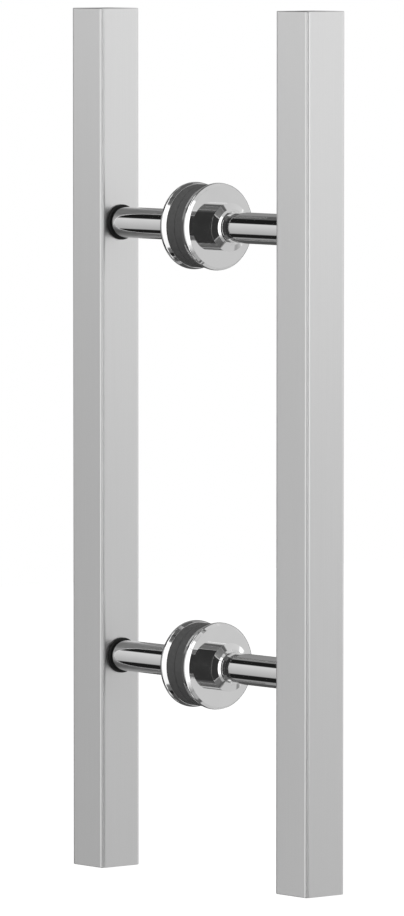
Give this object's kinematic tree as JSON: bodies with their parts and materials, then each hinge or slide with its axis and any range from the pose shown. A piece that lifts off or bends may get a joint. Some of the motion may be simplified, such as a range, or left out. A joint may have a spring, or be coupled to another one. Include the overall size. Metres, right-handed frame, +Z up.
{
  "type": "shower door handle",
  "caption": "Back-to-back glass door handle: square satin grip tubes joined by round polished posts, with rosettes that clamp the glass between gaskets.",
  "frame": {"origin": "middle of the handle, on the mid-plane of the glass, half way between the two lines of posts", "axes": "+Z up along the grip tubes, Y through the glass with the outside of the shower at -Y, X along the glass"},
  "size_m": [0.045, 0.1894, 0.45],
  "materials": {
    "satin_steel": "fine satin brushed along the tube",
    "polished_chrome": "mirror polished",
    "black_nylon": "moulded, semi-matt black",
    "dark_rubber": "moulded, matt dark grey",
    "white_nylon": "moulded, natural white",
    "plated_steel": "zinc plated"
  },
  "bodies": {
    "root": {"outside_grip_tube": "satin_steel", "outside_top_cap": "satin_steel", "outside_bottom_cap": "satin_steel", "outside_upper_post": "polished_chrome", "outside_upper_seat_ring": "black_nylon", "outside_upper_rosette": "polished_chrome", "outside_upper_gasket": "dark_rubber", "outside_upper_rivet_nut": "plated_steel", "outside_upper_post_stud": "plated_steel", "outside_upper_grub_screw": "plated_steel", "outside_lower_post": "polished_chrome", "outside_lower_seat_ring": "black_nylon", "outside_lower_rosette": "polished_chrome", "outside_lower_gasket": "dark_rubber", "outside_lower_rivet_nut": "plated_steel", "outside_lower_post_stud": "plated_steel", "outside_lower_grub_screw": "plated_steel", "inside_grip_tube": "satin_steel", "inside_top_cap": "satin_steel", "inside_bottom_cap": "satin_steel", "inside_upper_post": "polished_chrome", "inside_upper_seat_ring": "black_nylon", "inside_upper_rosette": "polished_chrome", "inside_upper_gasket": "dark_rubber", "inside_upper_rivet_nut": "plated_steel", "inside_upper_post_stud": "plated_steel", "inside_upper_grub_screw": "plated_steel", "inside_lower_post": "polished_chrome", "inside_lower_seat_ring": "black_nylon", "inside_lower_rosette": "polished_chrome", "inside_lower_gasket": "dark_rubber", "inside_lower_rivet_nut": "plated_steel", "inside_lower_post_stud": "plated_steel", "inside_lower_grub_screw": "plated_steel", "upper_clamp_stud": "plated_steel", "upper_glass_bushing": "white_nylon", "lower_clamp_stud": "plated_steel", "lower_glass_bushing": "white_nylon"}
  },
  "joints": []
}
